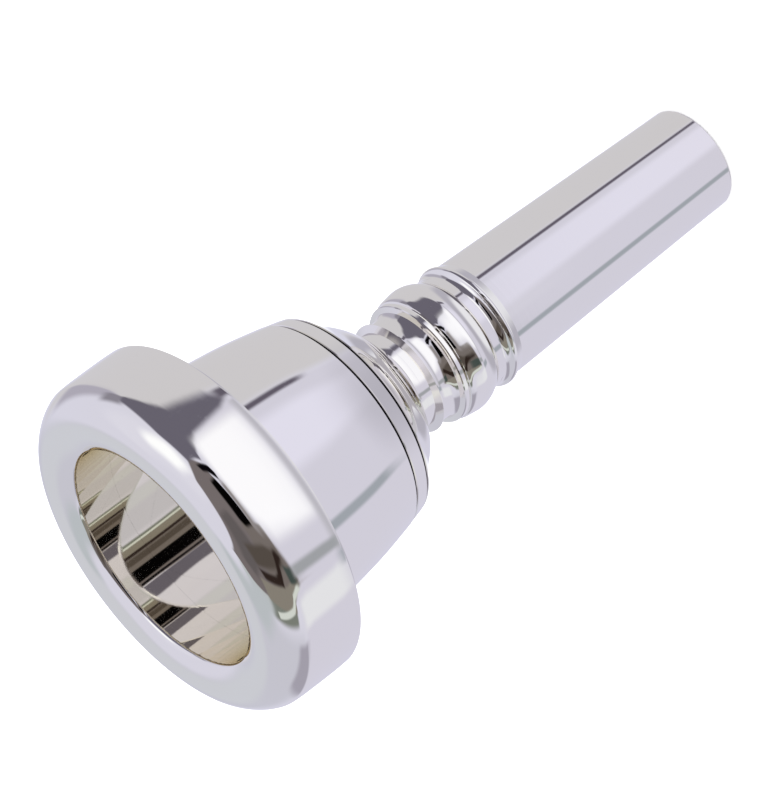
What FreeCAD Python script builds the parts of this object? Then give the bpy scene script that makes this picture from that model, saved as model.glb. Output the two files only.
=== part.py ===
"""Screw-together mouthpiece for a large-shank trombone, in three turned pieces: rim, cup and shank.

Millimetres. The axis is Z. The origin is the centre of the shank's flat tip, which goes into the
instrument, and +Z runs up to the rim, which the player meets. Every piece is a half section turned
once round the axis. Sections are drawn as (radius, depth), where depth runs from the crest of the
rim down to the tip, the way a mouthpiece is turned and measured.
"""
import math
import os

import FreeCAD
import Part

LENGTH = 80.2

# rim: a face that rolls over a soft shoulder into a wide band. Each round is a radius and the
# directions it faces at its two ends, in degrees from straight outwards, minus towards the player
CREST_R = 16.05
SHOULDER = ((3.05, -90, -50), (5.2, -50, -22), (1.9, -22, -8), (8, -8, -4), (17, -4, -1.5), (150, -1.5, 0))
BAND_REAR = ((19.744, 9.235), (19.712, 10.05))
BAND_CORNER = 0.35
RIM_DEPTH = 10.4

# inner edge of the rim: a flat round for the lips, then the tight round of the bite
FACE_ROUND = 4.6
FACE_TURN = math.radians(37)
BITE_ROUND = 0.75

# bore: a deep bowl that closes into the throat, a short cylinder, and the backbore's slow cone
THROAT_R = 3.4
BOWL_END_DEPTH = 28.0
BOWL_FULLNESS = 1.8
BOWL_CLOSING = 1.4
BACKBORE_DEPTH = 36.0
BACKBORE_TIP_R = 5.3

# screwed seats, as plain cylinders at the crests of their threads
RUNNING_GAP = 0.05
SEAM_GAP = 0.05
LEAD_CHAMFER = 0.3
RIM_SPIGOT_R = 14.9
RIM_SPIGOT_DEPTH = 6.0
SHANK_SPIGOT_R = 4.9
SHANK_SPIGOT_DEPTH = 26.6
SHANK_SEAM_R = 5.85
SHANK_SEAM_DEPTH = 33.0

# cup: a seat for the rim, a tapered body, two fine turned lines and a dome
SEAT_R = 16.0
SEAT_LAND = 0.25
SEAT_FILLET = ((15.1, 11.15), (14.72, 12.3))
BODY = ((14.33, 15.8), (13.74, 20.3))
DOME = ((10.63, 28.7), (8.9, 30.75))
LINES = ((12.87, 25.0), (12.4, 26.95))
LINE_WIDTH = 0.4
LINE_DEEP = 0.35
LINE_FALL = 0.12

# neck: a waist with a sharp flange, a broad cove, a ring, a large bead, a groove and a collar
WAIST = ((5.87, 33.35), (5.88, 33.75))
WAIST_LAND = (5.9, 34.5)
FLANGE = (6.68, 34.95)
FLANGE_LAND = 0.08
COVE_START = (6.26, 35.16)
COVE = ((6.245, 35.6), (6.265, 36.1), (6.315, 36.6), (6.4, 37.0), (6.57, 37.42))
RING = ((7.16, 37.6), (7.23, 37.72), (7.25, 38.15), (7.12, 38.32), (7.33, 38.44))
BEAD = ((7.42, 38.62), (7.49, 38.86), (7.55, 39.2), (7.65, 39.9), (7.71, 40.5), (7.36, 42.0), (6.84, 42.95))
GROOVE = (6.76, 43.9)
COLLAR_FRONT = ((6.84, 44.32), (7.25, 44.8))
COLLAR = ((7.39, 45.05), (7.3, 45.5))

# shank: a straight taper that ends square
SHANK_TOP_DEPTH = 46.3
SHANK_TOP_R = 7.02
TIP_R = 6.15
TIP_ROUND = 0.25


class Section:
    """A closed half section. Each call adds one edge from where the last one ended."""

    def __init__(self, radius, depth):
        self.here = self.place(radius, depth)
        self.edges = []

    @staticmethod
    def place(radius, depth):
        """Point in the XZ plane for a radius and a depth below the rim's crest."""
        return FreeCAD.Vector(radius, 0, LENGTH - depth)

    def line(self, radius, depth):
        """Add a straight edge."""
        end = self.place(radius, depth)
        self.edges.append(Part.LineSegment(self.here, end).toShape())
        self.here = end

    def arc(self, middle, end):
        """Add a round edge through a middle point."""
        end = self.place(*end)
        self.edges.append(Part.Arc(self.here, self.place(*middle), end).toShape())
        self.here = end

    def roll(self, radius, start, stop):
        """Add a round edge by the directions it faces, in degrees, from outwards towards the tip."""
        start, stop = math.radians(start), math.radians(stop)
        centre = (self.here.x - radius * math.cos(start), LENGTH - self.here.z - radius * math.sin(start))
        self.turn(centre, radius, start, stop)

    def turn(self, centre, radius, start, stop):
        """Add a round edge about a centre. Angles are in radians, from outwards towards the tip."""
        def at(angle):
            return centre[0] + radius * math.cos(angle), centre[1] + radius * math.sin(angle)
        self.arc(at((start + stop) / 2), at(stop))

    def curve(self, points):
        """Add one smooth edge through the points."""
        stations = [self.here] + [self.place(*point) for point in points]
        smooth = Part.BSplineCurve()
        smooth.interpolate(stations)
        self.edges.append(smooth.toShape())
        self.here = stations[-1]

    def solid(self):
        """Turn the section once round the axis."""
        face = Part.Face(Part.Wire(self.edges))
        return face.revolve(FreeCAD.Vector(0, 0, 0), FreeCAD.Vector(0, 0, 1), 360)


QUARTER = math.pi / 2
FACE_CENTRE = (CREST_R, FACE_ROUND)
BITE_CENTRE = (CREST_R - (FACE_ROUND - BITE_ROUND) * math.sin(FACE_TURN),
               FACE_ROUND - (FACE_ROUND - BITE_ROUND) * math.cos(FACE_TURN))
MOUTH_R = BITE_CENTRE[0] - BITE_ROUND
MOUTH_DEPTH = BITE_CENTRE[1]


def bowl_radius(depth):
    """Radius of the bowl's wall, from the bite to the throat."""
    share = min(max((depth - MOUTH_DEPTH) / (BOWL_END_DEPTH - MOUTH_DEPTH), 0.0), 1.0)
    closing = math.cos(QUARTER * share ** BOWL_FULLNESS) ** BOWL_CLOSING
    return THROAT_R + (MOUTH_R - THROAT_R) * closing


def bowl_wall(start, stop, steps):
    """Points along the bowl's wall from one depth to another, without the first."""
    depths = [start + (stop - start) * step / steps for step in range(1, steps + 1)]
    return [(bowl_radius(depth), depth) for depth in depths]


def make_rim():
    """Rim ring, with the recess that screws over the cup."""
    recess_r = RIM_SPIGOT_R + RUNNING_GAP
    rim = Section(CREST_R, 0)
    for radius, start, stop in SHOULDER:
        rim.roll(radius, start, stop)
    rim.arc(*BAND_REAR)
    rim.roll(BAND_CORNER, 0, 90)
    rim.line(recess_r + LEAD_CHAMFER, RIM_DEPTH)
    rim.line(recess_r, RIM_DEPTH - LEAD_CHAMFER)
    rim.line(recess_r, RIM_SPIGOT_DEPTH)
    rim.line(bowl_radius(RIM_SPIGOT_DEPTH), RIM_SPIGOT_DEPTH)
    rim.curve(bowl_wall(RIM_SPIGOT_DEPTH, MOUTH_DEPTH, 4))
    rim.turn(BITE_CENTRE, BITE_ROUND, -2 * QUARTER, -QUARTER - FACE_TURN)
    rim.turn(FACE_CENTRE, FACE_ROUND, -QUARTER - FACE_TURN, -QUARTER)
    return rim.solid()


def cut_line(section, place):
    """Run an outline to a fine V line, into it and out again."""
    radius, depth = place
    section.line(radius - LINE_FALL / 2 - LINE_DEEP, depth)
    section.line(radius - LINE_FALL, depth + LINE_WIDTH / 2)


def line_edge(place):
    """Where the outline meets a V line, on the rim's side."""
    return place[0], place[1] - LINE_WIDTH / 2


def make_cup():
    """Cup, with the spigot for the rim at one end and the socket for the shank at the other."""
    socket_r = SHANK_SPIGOT_R + RUNNING_GAP
    spigot_depth = RIM_SPIGOT_DEPTH + SEAM_GAP
    cup = Section(bowl_radius(spigot_depth), spigot_depth)
    cup.line(RIM_SPIGOT_R - LEAD_CHAMFER, spigot_depth)
    cup.line(RIM_SPIGOT_R, spigot_depth + LEAD_CHAMFER)
    cup.line(RIM_SPIGOT_R, RIM_DEPTH)
    cup.line(SEAT_R, RIM_DEPTH)
    cup.line(SEAT_R, RIM_DEPTH + SEAT_LAND)
    cup.arc(*SEAT_FILLET)
    cup.curve(BODY + (line_edge(LINES[0]),))
    cut_line(cup, LINES[0])
    cup.line(*line_edge(LINES[1]))
    cut_line(cup, LINES[1])
    cup.curve(DOME + ((SHANK_SEAM_R, SHANK_SEAM_DEPTH),))
    cup.line(socket_r + LEAD_CHAMFER, SHANK_SEAM_DEPTH)
    cup.line(socket_r, SHANK_SEAM_DEPTH - LEAD_CHAMFER)
    cup.line(socket_r, SHANK_SPIGOT_DEPTH)
    cup.line(bowl_radius(SHANK_SPIGOT_DEPTH), SHANK_SPIGOT_DEPTH)
    cup.curve(bowl_wall(SHANK_SPIGOT_DEPTH, spigot_depth, 8))
    return cup.solid()


def draw_neck(shank):
    """Outline of the neck, from the seam with the cup to the top of the taper."""
    shank.arc(*WAIST)
    shank.line(*WAIST_LAND)
    shank.line(FLANGE[0], FLANGE[1] - FLANGE_LAND / 2)
    shank.line(FLANGE[0], FLANGE[1] + FLANGE_LAND / 2)
    shank.line(*COVE_START)
    shank.curve(COVE)
    for place in RING:
        shank.line(*place)
    shank.curve(BEAD)
    shank.line(*GROOVE)
    shank.arc(*COLLAR_FRONT)
    shank.arc(*COLLAR)
    shank.line(SHANK_TOP_R, SHANK_TOP_DEPTH)


def make_shank():
    """Shank, with the spigot that screws into the cup, the throat and the backbore."""
    spigot_depth = SHANK_SPIGOT_DEPTH + SEAM_GAP
    shank = Section(bowl_radius(spigot_depth), spigot_depth)
    shank.line(SHANK_SPIGOT_R - LEAD_CHAMFER, spigot_depth)
    shank.line(SHANK_SPIGOT_R, spigot_depth + LEAD_CHAMFER)
    shank.line(SHANK_SPIGOT_R, SHANK_SEAM_DEPTH)
    shank.line(SHANK_SEAM_R, SHANK_SEAM_DEPTH)
    draw_neck(shank)
    shank.line(TIP_R, LENGTH - TIP_ROUND)
    shank.turn((TIP_R - TIP_ROUND, LENGTH - TIP_ROUND), TIP_ROUND, 0, QUARTER)
    shank.line(BACKBORE_TIP_R, LENGTH)
    shank.line(THROAT_R, BACKBORE_DEPTH)
    shank.line(THROAT_R, BOWL_END_DEPTH)
    shank.curve(bowl_wall(BOWL_END_DEPTH, spigot_depth, 3))
    return shank.solid()


os.makedirs("parts", exist_ok=True)
for name, make in (("rim", make_rim), ("cup", make_cup), ("shank", make_shank)):
    solid = make()
    solid.exportStep(f"parts/{name}.step")
    print(f"{name}: valid {solid.isValid()}, {len(solid.Solids)} solid, {solid.Volume / 1000:.2f} cm3")
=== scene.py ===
"""Silver-plated large-shank trombone mouthpiece: rim, cup and shank, screwed together.

Sections are drawn in millimetres as (radius, depth), where depth runs from the crest of the rim down
to the shank's tip, and are turned round Z into meshes in metres. The silver mirrors a studio tent
made of soft coloured panels, and plain paper stands behind and below it.
"""
import math

import bpy
import numpy as np
from mathutils import Matrix, Vector


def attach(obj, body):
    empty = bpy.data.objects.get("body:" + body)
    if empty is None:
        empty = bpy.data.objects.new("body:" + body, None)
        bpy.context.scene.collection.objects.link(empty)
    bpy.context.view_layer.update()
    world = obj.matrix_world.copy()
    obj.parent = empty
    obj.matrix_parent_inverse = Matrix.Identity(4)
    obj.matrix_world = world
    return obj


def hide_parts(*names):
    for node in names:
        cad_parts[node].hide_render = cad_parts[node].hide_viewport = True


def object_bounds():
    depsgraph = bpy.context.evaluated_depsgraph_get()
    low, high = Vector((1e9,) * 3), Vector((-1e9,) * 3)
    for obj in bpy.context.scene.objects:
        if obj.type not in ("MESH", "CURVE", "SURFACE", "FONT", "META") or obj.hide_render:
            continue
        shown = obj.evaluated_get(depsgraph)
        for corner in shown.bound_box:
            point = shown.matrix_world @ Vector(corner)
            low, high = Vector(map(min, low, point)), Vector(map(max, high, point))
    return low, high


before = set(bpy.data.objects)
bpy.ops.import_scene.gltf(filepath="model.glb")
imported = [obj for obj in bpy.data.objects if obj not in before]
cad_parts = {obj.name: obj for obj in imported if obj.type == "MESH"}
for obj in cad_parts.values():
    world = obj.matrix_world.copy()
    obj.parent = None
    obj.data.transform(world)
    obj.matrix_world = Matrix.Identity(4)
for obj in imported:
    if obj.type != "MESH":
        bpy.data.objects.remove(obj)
CAD_BOX = [list(corner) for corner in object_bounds()]

MM = 0.001
LENGTH = CAD_BOX[1][2] / MM
QUARTER = math.pi / 2

# ---------------------------------------------------------------- camera
CAMERA_PLACE = Vector((0.0, -0.33610, 0.21639))
CAMERA_AIM = Vector((-0.00113, 0.0, 0.04773))
CAMERA_ROLL = math.radians(-127.13)
LENS = 162.0
SENSOR = 36.0
CLIP = (0.01, 20.0)


def make_camera():
    """Long lens, above the rim's side of the object, rolled so that the shank points up and right."""
    data = bpy.data.cameras.new("camera")
    data.lens = LENS
    data.sensor_width = SENSOR
    data.clip_start, data.clip_end = CLIP
    camera = bpy.data.objects.new("camera", data)
    bpy.context.scene.collection.objects.link(camera)
    look = (CAMERA_AIM - CAMERA_PLACE).to_track_quat("-Z", "Y").to_matrix().to_4x4()
    camera.matrix_world = Matrix.Translation(CAMERA_PLACE) @ look @ Matrix.Rotation(CAMERA_ROLL, 4, "Z")
    bpy.context.scene.camera = camera


# ---------------------------------------------------------------- dimensions, as the CAD has them
# rim: a face that rolls over a soft shoulder into a wide band. Each round is a radius and the
# directions it faces at its two ends, in degrees from straight outwards, minus towards the player
CREST_R = 16.05
SHOULDER = ((3.05, -90, -50), (5.2, -50, -22), (1.9, -22, -8),
            (8, -8, -4), (17, -4, -1.5), (150, -1.5, 0))
BAND_REAR = ((19.744, 9.235), (19.712, 10.05))
BAND_CORNER = 0.35
RIM_DEPTH = 10.4

# inner edge of the rim: a flat round for the lips, then the tight round of the bite
FACE_ROUND = 4.6
FACE_TURN = math.radians(37)
BITE_ROUND = 0.75

# bore: a deep bowl that closes into the throat, a short cylinder, and the backbore's slow cone
THROAT_R = 3.4
BOWL_END_DEPTH = 28.0
BOWL_FULLNESS = 1.8
BOWL_CLOSING = 1.4
BACKBORE_DEPTH = 36.0
BACKBORE_TIP_R = 5.3

# screwed seats: radii at the threads' crests. The gap that shows inside the bore is closed tighter
# than the CAD's 0.05, as a real seam is
RUNNING_GAP = 0.05
SEAM_GAP = 0.01
LEAD_CHAMFER = 0.3
RIM_SPIGOT_R = 14.9
RIM_SPIGOT_DEPTH = 6.0
SHANK_SPIGOT_R = 4.9
SHANK_SPIGOT_DEPTH = 26.6
SHANK_SEAM_R = 5.85
SHANK_SEAM_DEPTH = 33.0

# cup: a seat for the rim, a tapered body, two fine turned lines and a dome
SEAT_R = 16.0
SEAT_LAND = 0.25
SEAT_FILLET = ((15.1, 11.15), (14.72, 12.3))
BODY = ((14.33, 15.8), (13.74, 20.3))
DOME = ((10.63, 28.7), (8.9, 30.75))
LINES = ((12.87, 25.0), (12.4, 26.95))
LINE_WIDTH = 0.4
LINE_DEEP = 0.35
LINE_FALL = 0.12

# neck: a waist with a sharp flange, a broad cove, a ring, a large bead, a groove and a collar
WAIST = ((5.87, 33.35), (5.88, 33.75))
WAIST_LAND = (5.9, 34.5)
FLANGE = (6.68, 34.95)
FLANGE_LAND = 0.08
COVE_START = (6.26, 35.16)
COVE = ((6.245, 35.6), (6.265, 36.1), (6.315, 36.6), (6.4, 37.0), (6.57, 37.42))
RING = ((7.16, 37.6), (7.23, 37.72), (7.25, 38.15), (7.12, 38.32), (7.33, 38.44))
BEAD = ((7.42, 38.62), (7.49, 38.86), (7.55, 39.2), (7.65, 39.9), (7.71, 40.5),
        (7.36, 42.0), (6.84, 42.95))
GROOVE = (6.76, 43.9)
COLLAR_FRONT = ((6.84, 44.32), (7.25, 44.8))
COLLAR = ((7.39, 45.05), (7.3, 45.5))

# shank: a straight taper that ends square
SHANK_TOP_DEPTH = 46.3
SHANK_TOP_R = 7.02
TIP_R = 6.15
TIP_ROUND = 0.25

FACE_CENTRE = (CREST_R, FACE_ROUND)
BITE_CENTRE = (CREST_R - (FACE_ROUND - BITE_ROUND) * math.sin(FACE_TURN),
               FACE_ROUND - (FACE_ROUND - BITE_ROUND) * math.cos(FACE_TURN))
MOUTH_R = BITE_CENTRE[0] - BITE_ROUND
MOUTH_DEPTH = BITE_CENTRE[1]

# ---------------------------------------------------------------- mesh detail
SEGMENTS = 288
ARC_STEP = math.radians(2)
CURVE_STEP = 0.25
THREAD_PITCH = 0.75
THREAD_DEEP = 0.32
THREAD_FADE = 0.5
THREAD_STEP = 0.06
GROOVE_SLOPE = 2.5
ANGLES = np.arange(SEGMENTS) * 2 * math.pi / SEGMENTS

# ---------------------------------------------------------------- silver
SILVER = (0.96, 0.94, 0.89)
WARM_SILVER = (0.955, 0.93, 0.87)
WARMTH_SCALE = 45.0
WARMTH_RANGE = (0.35, 0.7)
HAZE_SCALE = 70.0
HAZE_GRAIN = 0.65
HAZE_RANGE = (0.3, 0.75)
HAZE_SWING = (0.5, 1.5)
DENT_SCALE = 160.0
DENT_SHARE = 0.6
BUMP_HEIGHT = 0.00001
RINGS_STRETCH = (0.01, 0.01, 1.0)
RINGS_GRAIN = 0.6

# hairlines: each set is a scale and the turn that gives its direction
HAIRLINES = ((1500.0, (0.3, 0.2, 0.9)), (1900.0, (1.2, 0.5, -0.6)))
HAIR_STRETCH = 0.03
HAIR_RANGE = (0.66, 0.74)
HAIR_BREAKS = 90.0
BREAKS_RANGE = (0.5, 0.7)
HAIR_ROUGHNESS = 0.06
HAIR_DEEP = 0.15

# painted shade: a near-black colour painted into the cup's turned lines, where shade falls in the V
# cuts, and more roughness there, as the depth and half width of each
LINE_SHADE_COLOUR = (0.05, 0.045, 0.05)
LINE_SHADE_ROUGHNESS = 0.3
LINE_SHADE_EDGE = 0.7
CUP_LINE_SHADE = tuple((depth, LINE_WIDTH / 3) for _, depth in LINES)

# ---------------------------------------------------------------- light
MIRROR_BOUNCES = 24
ROOM_LIGHT = 1.8
PAPER = (0.95, 0.95, 0.95, 1)
FLOOR_RADIUS = 3.0
FLOOR_SIDES = 128
TENT_RADIUS = 6.0
TENT_HEIGHT = 0.05
TENT_STEP = 0.75
TENT_CLOTH = (213, 211, 223)

# What stands round the mouthpiece and shows in it. Each panel is a display colour, the width of its
# soft edge, and its corners as (turn, rise) in degrees. Turn is 0 towards -Y, where the photographer
# stands, and grows towards -X. Rise is above the horizon. Later panels cover earlier ones.
PANELS = (
    # wall on the -X side, then the cloths below the horizon, +X side first, and the paler floor
    ((196, 195, 205), 22, ((94, 66), (200, 66), (200, -8), (94, -8))),
    ((203, 200, 202), 12, ((-160, -2), (-64, -2), (-64, -95), (-160, -95))),
    ((208, 205, 217), 5, ((-60, -14), (180, -14), (180, -95), (-60, -95))),
    ((176, 173, 183), 9, ((-200, -49), (200, -49), (200, -95), (-200, -95))),
    ((230, 229, 233), 10, ((-200, -64), (200, -64), (200, -98), (-200, -98))),
    # back wall: grey above, white paper below
    ((201, 202, 208), 16, ((162, 66), (198, 66), (198, 8), (162, 8))),
    ((255, 255, 255), 8, ((173, -16), (187, -16), (187, -38), (173, -38))),
    # shade on the +X side
    ((172, 168, 180), 10, ((-152, 3), (-108, 9), (-96, 0), (-104, -12), (-142, -14))),
    ((136, 132, 142), 8, ((-112, 14), (-94, 14), (-94, -8), (-106, -4))),
    # window high on the +X side, with a soft glow round it
    ((218, 216, 227), 18, ((-118, 62), (-22, 68), (-16, 50), (-60, 26), (-112, 26))),
    ((255, 255, 255), 14, ((-84, 50), (-50, 58), (-36, 44), (-58, 32), (-82, 38))),
    # grey stands and shade on the -X side
    ((182, 186, 186), 8, ((68, 74), (92, 72), (90, 42), (72, 42))),
    ((120, 124, 116), 7, ((70, 46), (90, 44), (86, 8), (70, -4))),
    ((183, 188, 192), 14, ((78, 70), (170, 70), (170, 52), (78, 44))),
    ((162, 158, 170), 7, ((100, 11), (134, 8), (150, -13), (100, -14))),
    # dark opening of the tent with the photographer in it
    ((114, 106, 106), 3, ((-40, 30), (-30, 50), (-14, 57), (30, 69), (66, 77), (76, 62), (68, 18),
                          (-30, 18))),
    ((114, 106, 102), 3, ((12, 32), (74, 32), (72, -2), (60, -21), (36, -17), (18, -14), (12, 0))),
    ((96, 90, 90), 8, ((0, 58), (50, 64), (62, 54), (30, 36), (0, 42))),
    ((82, 74, 68), 7, ((28, 50), (46, 46), (46, -14), (34, -14), (28, 20))),
    ((132, 126, 116), 3, ((58, 50), (75, 46), (76, -2), (62, -21), (57, -16))),
    ((46, 36, 32), 4, ((48, 46), (56, 42), (58, 12), (51, 12))),
    ((44, 34, 30), 4, ((50, 22), (58, 16), (41, -15), (34, -11))),
    ((142, 136, 136), 8, ((-14, 9), (18, 7), (24, -10), (-14, -9))),
    # purple card beside the opening, on the +X side
    ((102, 98, 110), 4, ((-96, 9), (-64, 29), (-38, 33), (-30, 2), (-37, -12), (-55, -28),
                         (-96, -12))),
    # white table edge under the lens, its grey front and the lit cloth below
    ((252, 251, 254), 12, ((-43, -15), (-20, -8), (6, -9), (34, -22), (34, -28), (-44, -28))),
    ((224, 221, 235), 14, ((-45, -30), (14, -30), (2, -46), (-40, -46))),
    ((184, 182, 190), 3, ((-52, -28), (62, -28), (62, -31), (-52, -31))),
    # green rim of the opening and the streaks that run down from it
    ((66, 76, 72), 3, ((45, -12), (58, -13), (61, -19), (50, -19))),
    ((158, 160, 164), 4, ((49, -19), (57, -19), (60, -30), (53, -30))),
    ((226, 226, 229), 7, ((72, -15), (92, -15), (90, -28), (68, -28))),
    ((206, 210, 202), 2, ((61, -18), (65, -19), (86, 36), (81, 38))),
    ((158, 163, 170), 5, ((62, -28), (72, -28), (76, -44), (66, -44))),
    # lens, its strap and the card's shadow
    ((5, 4, 4), 4, ((-19, 29), (-12, 31), (10, 31), (16, 27), (16, 8), (4, 5), (-8, 11), (-19, 13))),
    ((8, 6, 10), 3, ((-32, 27), (-26, 26), (-15, 0), (-20, -7), (-26, -3))),
    ((96, 90, 102), 4, ((-64, -26), (-56, -26), (-57, -41), (-62, -41))),
)


class Section:
    """A closed half section. Each call adds one edge: its stations, their tangents and its thread.

    The thread is 0 on a plain edge, 1 outside a spigot and -1 inside a socket.
    """

    def __init__(self, radius, depth):
        self.here = (radius, depth)
        self.edges = []

    def add(self, places, tangents, thread=0):
        """Add an edge that is already laid out in stations."""
        self.edges.append((np.array(places, float), np.array(tangents, float), thread))
        self.here = tuple(places[-1])

    def line(self, radius, depth):
        """Add a straight edge."""
        start, end = np.array(self.here), np.array((radius, depth))
        self.add([start, end], [end - start] * 2)

    def screw(self, radius, depth, thread):
        """Add a threaded cylinder."""
        start, end = np.array(self.here), np.array((radius, depth))
        steps = max(8, round(float(np.linalg.norm(end - start)) / THREAD_STEP))
        places = [start + (end - start) * step / steps for step in range(steps + 1)]
        self.add(places, [end - start] * (steps + 1), thread)

    def turn(self, centre, radius, start, stop):
        """Add a round edge about a centre. Angles are in radians, from outwards towards the tip."""
        steps = max(2, math.ceil(abs(stop - start) / ARC_STEP))
        angles = [start + (stop - start) * step / steps for step in range(steps + 1)]
        way = 1 if stop > start else -1
        places = [(centre[0] + radius * math.cos(a), centre[1] + radius * math.sin(a)) for a in angles]
        self.add(places, [(-way * math.sin(a), way * math.cos(a)) for a in angles])

    def roll(self, radius, start, stop):
        """Add a round edge by its normals' angles, in degrees, from outwards towards the tip."""
        start, stop = math.radians(start), math.radians(stop)
        centre = (self.here[0] - radius * math.cos(start), self.here[1] - radius * math.sin(start))
        self.turn(centre, radius, start, stop)

    def arc(self, middle, end):
        """Add a round edge through a middle point."""
        (ax, ay), (bx, by), (cx, cy) = self.here, middle, end
        double = 2 * (ax * (by - cy) + bx * (cy - ay) + cx * (ay - by))
        a2, b2, c2 = ax * ax + ay * ay, bx * bx + by * by, cx * cx + cy * cy
        centre = ((a2 * (by - cy) + b2 * (cy - ay) + c2 * (ay - by)) / double,
                  (a2 * (cx - bx) + b2 * (ax - cx) + c2 * (bx - ax)) / double)
        start, mid, stop = (math.atan2(y - centre[1], x - centre[0])
                            for x, y in (self.here, middle, end))
        full = 2 * math.pi
        if (mid - start) % full < (stop - start) % full:
            stop = start + (stop - start) % full
        else:
            stop = start - (start - stop) % full
        self.turn(centre, math.hypot(ax - centre[0], ay - centre[1]), start, stop)

    def curve(self, points):
        """Add one smooth edge through the points: a natural cubic spline by chord length."""
        knots = np.array([self.here, *points], float)
        gaps = np.linalg.norm(np.diff(knots, axis=0), axis=1)
        count = len(knots)
        system, right = np.eye(count), np.zeros((count, 2))
        for k in range(1, count - 1):
            system[k, k - 1:k + 2] = gaps[k - 1], 2 * (gaps[k - 1] + gaps[k]), gaps[k]
            right[k] = 6 * ((knots[k + 1] - knots[k]) / gaps[k]
                            - (knots[k] - knots[k - 1]) / gaps[k - 1])
        bend = np.linalg.solve(system, right)
        places, tangents = [], []
        for k in range(count - 1):
            steps = max(2, math.ceil(gaps[k] / CURVE_STEP))
            for step in range(0 if k == 0 else 1, steps + 1):
                b = step / steps
                a, h = 1 - b, gaps[k]
                places.append(a * knots[k] + b * knots[k + 1]
                              + ((a ** 3 - a) * bend[k] + (b ** 3 - b) * bend[k + 1]) * h * h / 6)
                tangents.append((knots[k + 1] - knots[k]) / h
                                + ((1 - 3 * a * a) * bend[k] + (3 * b * b - 1) * bend[k + 1]) * h / 6)
        self.add(places, tangents)

    def mesh(self, name):
        """Turn the section once round the axis, with exact normals along every edge."""
        total = sum(len(places) - 1 for places, _, _ in self.edges)
        rings, quads, normals = [], [], []
        first = 0
        for places, tangents, thread in self.edges:
            points, facing = turned_edge(places, tangents, thread)
            for k in range(len(places) - 1):
                low, high = (first + k) * SEGMENTS, (first + k + 1) % total * SEGMENTS
                for s in range(SEGMENTS):
                    t = (s + 1) % SEGMENTS
                    quads.append((low + s, high + s, high + t, low + t))
                    normals.extend((facing[k, s], facing[k + 1, s], facing[k + 1, t], facing[k, t]))
            rings.append(points[:-1])
            first += len(places) - 1
        data = bpy.data.meshes.new(name)
        data.from_pydata(np.concatenate(rings).reshape(-1, 3).tolist(), [], quads)
        data.shade_smooth()
        data.normals_split_custom_set(normals)
        return data


def spun(radial, around, along):
    """Directions or places given round the axis at every angle, as x, y and z."""
    return np.stack([radial * np.cos(ANGLES) - around * np.sin(ANGLES),
                     radial * np.sin(ANGLES) + around * np.cos(ANGLES), along], 2)


def turned_edge(places, tangents, thread):
    """Points in metres and normals of one edge turned round the axis, station by station."""
    radii = np.stack([thread_radius(place, places, thread) for place in places])
    heights = LENGTH - places[:, 1]
    along_slope, around_slope = np.zeros_like(radii), np.zeros_like(radii)
    if thread:
        along_slope = np.gradient(radii, heights, axis=0)
        around_slope = (np.roll(radii, -1, 1) - np.roll(radii, 1, 1)) / (2 * ANGLES[1]) / radii
    outward = np.stack([tangents[:, 1], tangents[:, 0]], 1)
    outward /= np.linalg.norm(outward, axis=1)[:, None]
    radial = np.repeat(outward[:, :1], SEGMENTS, 1)
    along = np.repeat(outward[:, 1:], SEGMENTS, 1) - along_slope * radial
    normals = spun(radial, -around_slope * radial, along)
    normals /= np.linalg.norm(normals, axis=2)[:, :, None]
    return spun(radii, 0, np.repeat(heights[:, None], SEGMENTS, 1)) * MM, normals


def thread_radius(place, places, thread):
    """Radius round one station: plain, or with a V thread that fades out at both ends of its edge."""
    radius, depth = place
    if not thread:
        return np.full(SEGMENTS, radius)
    to_end = min(abs(depth - places[0][1]), abs(depth - places[-1][1]))
    fade = min(1.0, to_end / THREAD_FADE)
    turn = (depth / THREAD_PITCH + ANGLES / (2 * math.pi)) % 1.0
    groove = np.clip(GROOVE_SLOPE * (0.5 - np.abs(turn * 2 - 1)), 0.0, 1.0)
    return radius - thread * THREAD_DEEP * fade * groove


def bowl_radius(depth):
    """Radius of the bowl's wall, from the bite to the throat."""
    share = min(max((depth - MOUTH_DEPTH) / (BOWL_END_DEPTH - MOUTH_DEPTH), 0.0), 1.0)
    closing = math.cos(QUARTER * share ** BOWL_FULLNESS) ** BOWL_CLOSING
    return THROAT_R + (MOUTH_R - THROAT_R) * closing


def bowl_wall(start, stop, steps):
    """Points along the bowl's wall from one depth to another, without the first."""
    depths = [start + (stop - start) * step / steps for step in range(1, steps + 1)]
    return [(bowl_radius(depth), depth) for depth in depths]


def rim_mesh():
    """Rim ring, with the threaded recess that screws over the cup."""
    recess_r = RIM_SPIGOT_R + RUNNING_GAP
    rim = Section(CREST_R, 0)
    for radius, start, stop in SHOULDER:
        rim.roll(radius, start, stop)
    rim.arc(*BAND_REAR)
    rim.roll(BAND_CORNER, 0, 90)
    rim.line(recess_r + LEAD_CHAMFER, RIM_DEPTH)
    rim.line(recess_r, RIM_DEPTH - LEAD_CHAMFER)
    rim.screw(recess_r, RIM_SPIGOT_DEPTH, -1)
    rim.line(bowl_radius(RIM_SPIGOT_DEPTH), RIM_SPIGOT_DEPTH)
    rim.curve(bowl_wall(RIM_SPIGOT_DEPTH, MOUTH_DEPTH, 6))
    rim.turn(BITE_CENTRE, BITE_ROUND, -2 * QUARTER, -QUARTER - FACE_TURN)
    rim.turn(FACE_CENTRE, FACE_ROUND, -QUARTER - FACE_TURN, -QUARTER)
    return rim.mesh("rim_turned")


def cut_line(section, place):
    """Run an outline to a fine V line, into it and out again."""
    radius, depth = place
    section.line(radius - LINE_FALL / 2 - LINE_DEEP, depth)
    section.line(radius - LINE_FALL, depth + LINE_WIDTH / 2)


def line_edge(place):
    """Where the outline meets a V line, on the rim's side."""
    return place[0], place[1] - LINE_WIDTH / 2


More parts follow.
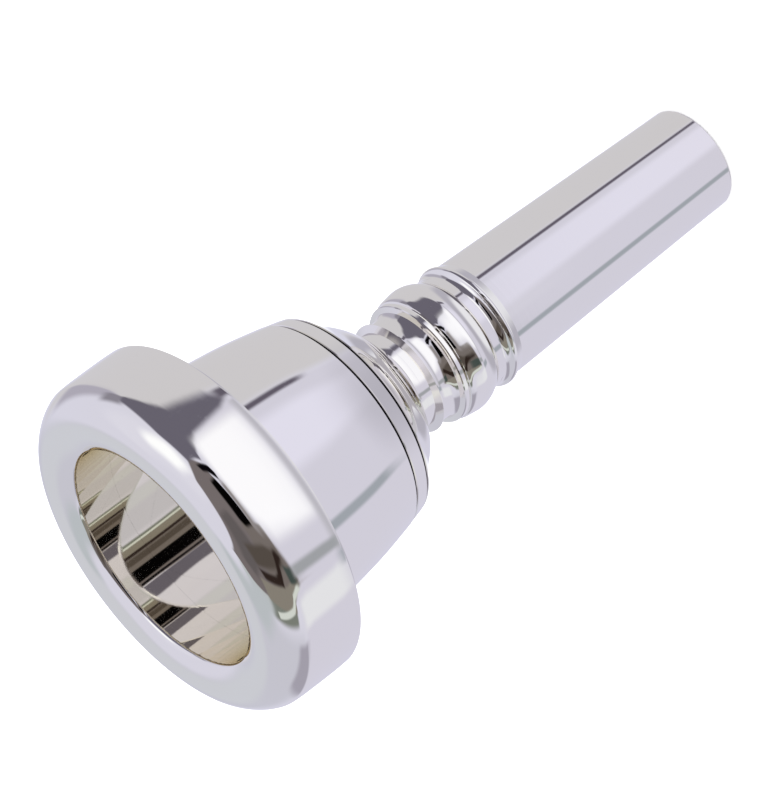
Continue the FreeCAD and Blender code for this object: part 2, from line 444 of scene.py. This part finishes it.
def cup_mesh():
    """Cup, with the spigot for the rim at one end and the socket for the shank at the other."""
    socket_r = SHANK_SPIGOT_R + RUNNING_GAP
    spigot_depth = RIM_SPIGOT_DEPTH + SEAM_GAP
    cup = Section(bowl_radius(spigot_depth), spigot_depth)
    cup.line(RIM_SPIGOT_R - LEAD_CHAMFER, spigot_depth)
    cup.line(RIM_SPIGOT_R, spigot_depth + LEAD_CHAMFER)
    cup.screw(RIM_SPIGOT_R, RIM_DEPTH, 1)
    cup.line(SEAT_R, RIM_DEPTH)
    cup.line(SEAT_R, RIM_DEPTH + SEAT_LAND)
    cup.arc(*SEAT_FILLET)
    cup.curve(BODY + (line_edge(LINES[0]),))
    cut_line(cup, LINES[0])
    cup.line(*line_edge(LINES[1]))
    cut_line(cup, LINES[1])
    cup.curve(DOME + ((SHANK_SEAM_R, SHANK_SEAM_DEPTH),))
    cup.line(socket_r + LEAD_CHAMFER, SHANK_SEAM_DEPTH)
    cup.line(socket_r, SHANK_SEAM_DEPTH - LEAD_CHAMFER)
    cup.screw(socket_r, SHANK_SPIGOT_DEPTH, -1)
    cup.line(bowl_radius(SHANK_SPIGOT_DEPTH), SHANK_SPIGOT_DEPTH)
    cup.curve(bowl_wall(SHANK_SPIGOT_DEPTH, spigot_depth, 16))
    return cup.mesh("cup_turned")


def draw_neck(shank):
    """Outline of the neck, from the seam with the cup to the top of the taper."""
    shank.arc(*WAIST)
    shank.line(*WAIST_LAND)
    shank.line(FLANGE[0], FLANGE[1] - FLANGE_LAND / 2)
    shank.line(FLANGE[0], FLANGE[1] + FLANGE_LAND / 2)
    shank.line(*COVE_START)
    shank.curve(COVE)
    for place in RING:
        shank.line(*place)
    shank.curve(BEAD)
    shank.line(*GROOVE)
    shank.arc(*COLLAR_FRONT)
    shank.arc(*COLLAR)
    shank.line(SHANK_TOP_R, SHANK_TOP_DEPTH)


def shank_mesh():
    """Shank, with the threaded spigot, the throat and the backbore."""
    spigot_depth = SHANK_SPIGOT_DEPTH + SEAM_GAP
    shank = Section(bowl_radius(spigot_depth), spigot_depth)
    shank.line(SHANK_SPIGOT_R - LEAD_CHAMFER, spigot_depth)
    shank.line(SHANK_SPIGOT_R, spigot_depth + LEAD_CHAMFER)
    shank.screw(SHANK_SPIGOT_R, SHANK_SEAM_DEPTH, 1)
    shank.line(SHANK_SEAM_R, SHANK_SEAM_DEPTH)
    draw_neck(shank)
    shank.line(TIP_R, LENGTH - TIP_ROUND)
    shank.turn((TIP_R - TIP_ROUND, LENGTH - TIP_ROUND), TIP_ROUND, 0, QUARTER)
    shank.line(BACKBORE_TIP_R, LENGTH)
    shank.line(THROAT_R, BACKBORE_DEPTH)
    shank.line(THROAT_R, BOWL_END_DEPTH)
    shank.curve(bowl_wall(BOWL_END_DEPTH, spigot_depth, 5))
    return shank.mesh("shank_turned")


def linear(colour):
    """Scene-linear value of a display colour given in steps of 255."""
    share = np.asarray(colour, float) / 255
    return np.where(share <= 0.04045, share / 12.92, ((share + 0.055) / 1.055) ** 2.4)


def soft_step(value):
    """Smooth rise from 0 to 1."""
    value = np.clip(value, 0, 1)
    return value * value * (3 - 2 * value)


def panel_cover(turn, rise, corners, soft):
    """How much a panel with straight sides covers each direction, with soft edges."""
    corners = np.array(corners, float)
    middle = corners.mean(axis=0)
    cover = np.ones_like(turn)
    for here, there in zip(corners, np.roll(corners, -1, axis=0)):
        inward = np.array((there[1] - here[1], here[0] - there[0]))
        inward /= np.linalg.norm(inward) * (1 if (middle - here) @ inward > 0 else -1)
        inside = (turn - here[0]) * inward[0] + (rise - here[1]) * inward[1]
        cover = cover * soft_step(inside / soft + 0.5)
    return cover


def make_tent():
    """Round studio tent that only mirror surfaces see, with the panels as its colours."""
    turns = np.radians(np.arange(0, 360, TENT_STEP) - 180)
    rises = np.radians(np.arange(-90, 90 + TENT_STEP, TENT_STEP))
    turn, rise = (grid.ravel() for grid in np.meshgrid(turns, rises))
    around, layers = len(turns), len(rises)
    places = TENT_RADIUS * np.stack([-np.cos(rise) * np.sin(turn), -np.cos(rise) * np.cos(turn),
                                     np.sin(rise)], 1)
    faces = [(row * around + k, row * around + (k + 1) % around,
              (row + 1) * around + (k + 1) % around, (row + 1) * around + k)
             for row in range(layers - 1) for k in range(around)]
    colours = np.ones((len(places), 4))
    colours[:, :3] = linear(TENT_CLOTH)
    turn, rise = np.degrees(turn), np.degrees(rise)
    for colour, soft, corners in PANELS:
        laps = [panel_cover(turn + lap, rise, corners, soft) for lap in (-360, 0, 360)]
        colours[:, :3] += (linear(colour) - colours[:, :3]) * np.max(laps, axis=0)[:, None]
    colours[:, :3] /= SILVER
    data = bpy.data.meshes.new("tent")
    data.from_pydata((places + (0, 0, TENT_HEIGHT)).tolist(), [], faces)
    cloth = data.color_attributes.new("cloth", "FLOAT_COLOR", "POINT")
    cloth.data.foreach_set("color", colours.ravel())
    material = bpy.data.materials.new("tent_cloth")
    material.use_nodes = True
    material.cycles.emission_sampling = "NONE"
    nodes, links = material.node_tree.nodes, material.node_tree.links
    nodes.clear()
    painted = nodes.new("ShaderNodeVertexColor")
    painted.layer_name = "cloth"
    glow = nodes.new("ShaderNodeEmission")
    links.new(painted.outputs["Color"], glow.inputs["Color"])
    links.new(glow.outputs["Emission"], nodes.new("ShaderNodeOutputMaterial").inputs["Surface"])
    data.materials.append(material)
    tent = bpy.data.objects.new("tent", data)
    bpy.context.scene.collection.objects.link(tent)
    tent.visible_camera = tent.visible_diffuse = tent.visible_shadow = False


def make_floor():
    """Pale round floor under the shank's tip, left out of the mirror surfaces."""
    bpy.ops.mesh.primitive_circle_add(vertices=FLOOR_SIDES, radius=FLOOR_RADIUS, fill_type="NGON")
    floor = bpy.context.object
    floor.name = "floor"
    material = bpy.data.materials.new("floor_paper")
    material.use_nodes = True
    shader = material.node_tree.nodes["Principled BSDF"]
    shader.inputs["Base Color"].default_value = PAPER
    shader.inputs["Roughness"].default_value = 1.0
    shader.inputs["Specular IOR Level"].default_value = 0.0
    floor.data.materials.append(material)
    floor.visible_glossy = False


def make_world():
    """Even white light all round."""
    world = bpy.data.worlds.new("white_room")
    bpy.context.scene.world = world
    world.use_nodes = True
    world.node_tree.nodes["Background"].inputs["Color"].default_value = (1, 1, 1, 1)
    world.node_tree.nodes["Background"].inputs["Strength"].default_value = ROOM_LIGHT


class Paint:
    """A material's node tree, with short calls for the nodes used here."""

    def __init__(self, name):
        self.material = bpy.data.materials.new(name)
        self.material.use_nodes = True
        self.nodes = self.material.node_tree.nodes
        self.shader = self.nodes["Principled BSDF"]
        self.place = self.nodes.new("ShaderNodeTexCoord").outputs["Object"]

    def link(self, source, target):
        """Join an output, or set a plain value."""
        if isinstance(source, bpy.types.NodeSocket):
            self.material.node_tree.links.new(source, target)
        else:
            target.default_value = source

    def stretched(self, scale, turn=(0, 0, 0)):
        """The object's own coordinates, scaled and turned."""
        node = self.nodes.new("ShaderNodeMapping")
        self.link(self.place, node.inputs["Vector"])
        node.inputs["Rotation"].default_value = turn
        node.inputs["Scale"].default_value = scale
        return node.outputs["Vector"]

    def noise(self, scale, detail=2.0, where=None, rough=0.5):
        """Noise between 0 and 1."""
        node = self.nodes.new("ShaderNodeTexNoise")
        self.link(where or self.place, node.inputs["Vector"])
        node.inputs["Scale"].default_value = scale
        node.inputs["Detail"].default_value = detail
        node.inputs["Roughness"].default_value = rough
        return node.outputs["Fac"]

    def spread(self, value, low, high, start=0.0, stop=1.0):
        """Map one range of a value to another."""
        node = self.nodes.new("ShaderNodeMapRange")
        for source, name in ((value, "Value"), (start, "From Min"), (stop, "From Max"),
                             (low, "To Min"), (high, "To Max")):
            self.link(source, node.inputs[name])
        return node.outputs["Result"]

    def combine(self, one, other, how="ADD"):
        """Combine two values."""
        node = self.nodes.new("ShaderNodeMath")
        node.operation = how
        self.link(one, node.inputs[0])
        self.link(other, node.inputs[1])
        return node.outputs["Value"]

    def mix(self, share, one, other):
        """Blend two colours."""
        node = self.nodes.new("ShaderNodeMix")
        node.data_type = "RGBA"
        for source, name in ((share, "Factor"), (one, "A"), (other, "B")):
            self.link(source, node.inputs[name])
        return node.outputs["Result"]

    def scratches(self, scale, turn):
        """Thin straight hairlines in one direction, broken up by noise."""
        where = self.stretched((scale, scale * HAIR_STRETCH, scale), turn)
        streak = self.spread(self.noise(1.0, 1.0, where), 0.0, 1.0, *HAIR_RANGE)
        breaks = self.spread(self.noise(HAIR_BREAKS), 0.0, 1.0, *BREAKS_RANGE)
        return self.combine(streak, breaks, "MULTIPLY")

    def band(self, depth, half):
        """1 inside a narrow ring round the axis at one depth, and 0 away from it."""
        height = self.nodes.new("ShaderNodeSeparateXYZ")
        self.link(self.place, height.inputs["Vector"])
        away = self.combine(height.outputs["Z"], (LENGTH - depth) * MM, "SUBTRACT")
        half *= MM
        return self.spread(self.combine(away, 0.0, "ABSOLUTE"), 1.0, 0.0, half * LINE_SHADE_EDGE, half)


def make_silver(name, marks, mark_depth, haze, lines=()):
    """Mirror-polished silver plate: turning marks round the axis, hairlines, faint haze and warmth.

    Lines are the depths and half widths of fine cuts that are given painted shade: a near-black colour
    and more roughness.
    """
    paint = Paint(name)
    shader = paint.shader
    shader.inputs["Metallic"].default_value = 1.0

    warm = paint.spread(paint.noise(WARMTH_SCALE, 3.0), 0.0, 1.0, *WARMTH_RANGE)
    colour = paint.mix(warm, (*SILVER, 1), (*WARM_SILVER, 1))
    hair = paint.combine(*(paint.scratches(*hairline) for hairline in HAIRLINES))
    cloudy = paint.noise(HAZE_SCALE, 4.0, rough=HAZE_GRAIN)
    clouds = paint.spread(cloudy, haze * HAZE_SWING[0], haze * HAZE_SWING[1], *HAZE_RANGE)
    rough = paint.combine(clouds, paint.spread(hair, 0.0, HAIR_ROUGHNESS))
    # painted shade: each turned line's narrow band is blended to a near-black colour and made rougher
    for depth, half in lines:
        inside = paint.band(depth, half)
        colour = paint.mix(inside, colour, (*LINE_SHADE_COLOUR, 1))
        rough = paint.combine(rough, paint.spread(inside, 0.0, LINE_SHADE_ROUGHNESS))
    paint.link(colour, shader.inputs["Base Color"])
    paint.link(rough, shader.inputs["Roughness"])

    rings = paint.noise(marks, 3.0, paint.stretched(RINGS_STRETCH), RINGS_GRAIN)
    dents = paint.spread(paint.noise(DENT_SCALE), 0.0, DENT_SHARE)
    height = paint.combine(paint.combine(rings, dents), paint.spread(hair, 0.0, -HAIR_DEEP))
    bump = paint.nodes.new("ShaderNodeBump")
    bump.inputs["Strength"].default_value = mark_depth
    bump.inputs["Distance"].default_value = BUMP_HEIGHT
    paint.link(height, bump.inputs["Height"])
    paint.link(bump.outputs["Normal"], shader.inputs["Normal"])
    return paint.material


# node, its mesh, the turning marks' scale and depth, the haze, and the lines with painted shade
PIECES = (
    ("rim", rim_mesh, 900.0, 0.08, 0.03, ()),
    ("cup", cup_mesh, 1100.0, 0.08, 0.03, CUP_LINE_SHADE),
    ("shank", shank_mesh, 1100.0, 0.15, 0.05, ()),
)

make_camera()
make_world()
make_tent()
make_floor()

for node, make, marks, mark_depth, haze, lines in PIECES:
    piece = bpy.data.objects.new(f"{node}_turned", make())
    bpy.context.scene.collection.objects.link(piece)
    piece.data.materials.append(make_silver(f"{node}_silver", marks, mark_depth, haze, lines))
    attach(piece, node)
    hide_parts(node)

bpy.context.scene.view_settings.view_transform = "Standard"
bpy.context.scene.cycles.max_bounces = MIRROR_BOUNCES
bpy.context.scene.cycles.glossy_bounces = MIRROR_BOUNCES
